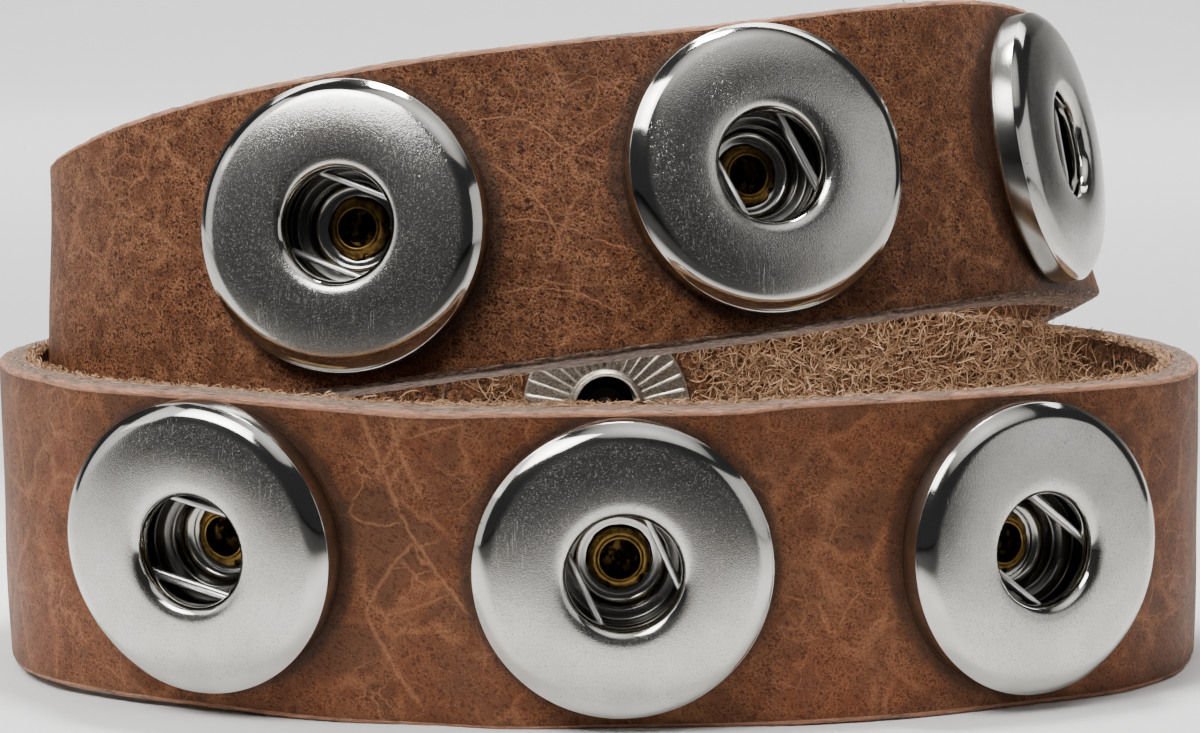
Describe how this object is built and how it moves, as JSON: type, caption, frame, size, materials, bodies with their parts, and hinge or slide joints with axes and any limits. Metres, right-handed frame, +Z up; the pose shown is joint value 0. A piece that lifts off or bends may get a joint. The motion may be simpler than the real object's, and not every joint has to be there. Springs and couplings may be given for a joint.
{
  "type": "leather snap bracelet",
  "caption": "Leather strap bracelet coiled into a wrist-sized loop, with domed press-stud sockets along its front and a snap closure at the back.",
  "frame": {"origin": "on the floor, under the middle of the bracelet's bounding box", "axes": "+Z up along the wrist hollow, +X to the viewer's right, +Y away from the viewer, towards the closure"},
  "size_m": [0.0812, 0.0715, 0.0441],
  "materials": {
    "leather": "oiled full-grain cowhide, brown with a fine web of lighter wrinkles, raw cut edges and a fibrous flesh side",
    "nickel": "nickel plate on pressed brass, finely brushed face with a polished rim and mouth",
    "spring_wire": "drawn hard wire, bright",
    "brass": "plain drawn brass tube, rolled over at its end",
    "antique_nickel": "pressed sheet with darkened nickel plate, bright on its flutes"
  },
  "bodies": {
    "root": {"strap": "leather", "socket_lower_left": "nickel", "socket_lower_middle": "nickel", "socket_lower_right": "nickel", "socket_upper_left": "nickel", "socket_upper_middle": "nickel", "socket_upper_right": "nickel", "spring_lower_left": "spring_wire", "spring_lower_middle": "spring_wire", "spring_lower_right": "spring_wire", "spring_upper_left": "spring_wire", "spring_upper_middle": "spring_wire", "spring_upper_right": "spring_wire", "rivet_lower_left": "brass", "rivet_lower_middle": "brass", "rivet_lower_right": "brass", "rivet_upper_left": "brass", "rivet_upper_middle": "brass", "rivet_upper_right": "brass", "closure_eyelet": "antique_nickel", "closure_snap": "nickel"}
  },
  "joints": []
}
